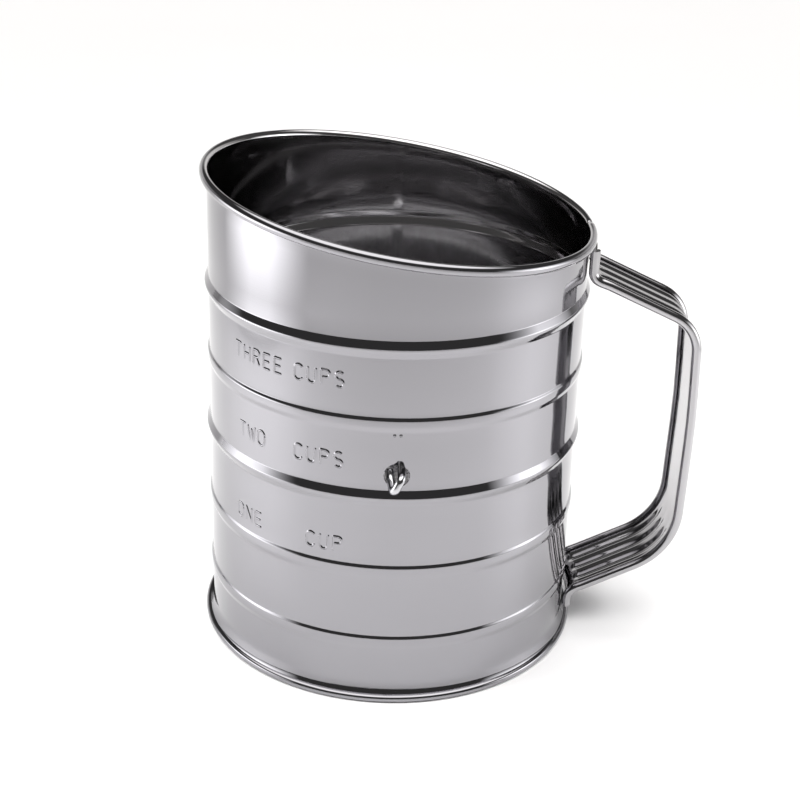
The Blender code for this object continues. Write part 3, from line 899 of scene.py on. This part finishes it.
def add_softbox(name, offset, width, height, power, softness, mirrored):
    """A softbox that fades out towards its edges. Steel mirrors it or only sees the floor it lights."""
    data = bpy.data.lights.new(name, "AREA")
    data.shape = "RECTANGLE"
    data.size = width
    data.size_y = height
    data.energy = power
    data.use_nodes = True
    nodes = Nodes(data.node_tree)
    across = nodes.add("ShaderNodeNewGeometry").outputs["Parametric"]
    parts = nodes.add("ShaderNodeSeparateXYZ", {"Vector": across})
    fades = []
    for axis in ("X", "Y"):
        off_middle = nodes.math("ABSOLUTE", nodes.math("SUBTRACT", parts.outputs[axis], 0.5))
        fades.append(nodes.ramp(off_middle, 0.5 - softness, 0.5, 1.0, 0.0))
    nodes.put(data.node_tree.nodes["Emission"].inputs["Strength"], nodes.math("MULTIPLY", *fades))
    lamp = bpy.data.objects.new(name, data)
    bpy.context.collection.objects.link(lamp)
    lamp.location = CAN + Vector(offset)
    lamp.rotation_mode = "QUATERNION"
    lamp.rotation_quaternion = (LAMP_TARGET - lamp.location).to_track_quat("-Z", "Y")
    lamp.visible_camera = False
    lamp.visible_glossy = mirrored


def make_camera():
    data = bpy.data.cameras.new("camera")
    data.lens = CAMERA_LENS
    data.clip_start = 0.01
    camera = bpy.data.objects.new("camera", data)
    bpy.context.collection.objects.link(camera)
    a, e = CAMERA_AZIMUTH, CAMERA_ELEVATION
    back = Vector((math.sin(a) * math.cos(e), -math.cos(a) * math.cos(e), math.sin(e)))
    forward = -back
    right = forward.cross(Vector((0, 0, 1))).normalized()
    up = right.cross(forward)
    rolled_right = right * math.cos(CAMERA_ROLL) + up * math.sin(CAMERA_ROLL)
    rolled_up = up * math.cos(CAMERA_ROLL) - right * math.sin(CAMERA_ROLL)
    turn = Matrix((rolled_right, rolled_up, back)).transposed()
    camera.matrix_world = Matrix.Translation(CAMERA_TARGET + back * CAMERA_DISTANCE) @ turn.to_4x4()
    bpy.context.scene.camera = camera


# ---------------------------------------------------------------- putting it together

def place(piece, body, slot, *nodes):
    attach(piece, body)
    if nodes:
        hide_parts(*nodes)


make_camera()
make_world()
make_stage()
bpy.context.scene.view_settings.view_transform = "Standard"
for softbox in SOFTBOXES:
    add_softbox(*softbox)

# The paler third colour is painted light on the can's inner face, brightening its dark interior.
sheet_steel = steel_with_painted_inner_light(
    "polished_steel", (0.31, 0.305, 0.323), (0.29, 0.286, 0.302), (0.52, 0.51, 0.52), 0.06, 0.09, 0.00002
)
strap_steel, _, _ = polished_steel(
    "strap_steel", (0.43, 0.42, 0.435), (0.39, 0.385, 0.395), 0.10, (4, 0.6, 0.1), 0.00001
)
band_steel, _, _ = polished_steel(
    "band_steel", (0.52, 0.52, 0.54), (0.42, 0.42, 0.43), 0.25, (0.2, 0.2, 3), 0.00002
)
wire_steel, _, _ = polished_steel(
    "wire_steel", (0.52, 0.52, 0.54), (0.44, 0.44, 0.46), 0.12, (1, 0.2, 1), 0.00001
)
woven_steel, _, _ = polished_steel(
    "woven_steel", (0.50, 0.50, 0.52), (0.38, 0.38, 0.40), 0.30, (1, 1, 1), 0.00001
)
bush_nylon = moulded_plastic("bush_nylon", (0.55, 0.55, 0.52), 0.45, 0.00003)
knob_plastic = moulded_plastic("knob_plastic", (0.012, 0.012, 0.013), 0.22, 0.00002)

place(make_can(sheet_steel), "can", "polished_steel", "body_shell")
place(make_graduations(sheet_steel), "can", "polished_steel")
place(screen_wires("screen_warp", True, woven_steel), "can", "woven_steel", "screen_mesh")
place(screen_wires("screen_weft", False, woven_steel), "can", "woven_steel")
place(make_screen_band(band_steel), "can", "band_steel", "screen_hoop")
place(make_handle(strap_steel), "can", "strap_steel", "handle_strap")
place(make_bush(bush_nylon), "can", "bush_plastic", "crank_bush")
place(make_crank_wire(wire_steel), "crank", "bright_wire", "crank_wire")
place(make_hoop("hoop_left", -1, 42.5 * MM, wire_steel), "crank", "hoop_wire", "agitator_hoop_left")
place(make_hoop("hoop_right", 1, 36.5 * MM, wire_steel), "crank", "hoop_wire", "agitator_hoop_right")
place(make_cap(wire_steel), "crank", "cap_steel", "knob_push_cap")
place(make_knob(knob_plastic), "knob", "knob_black", "crank_knob")
place(make_washer(wire_steel), "knob", "cap_steel", "knob_inner_washer")
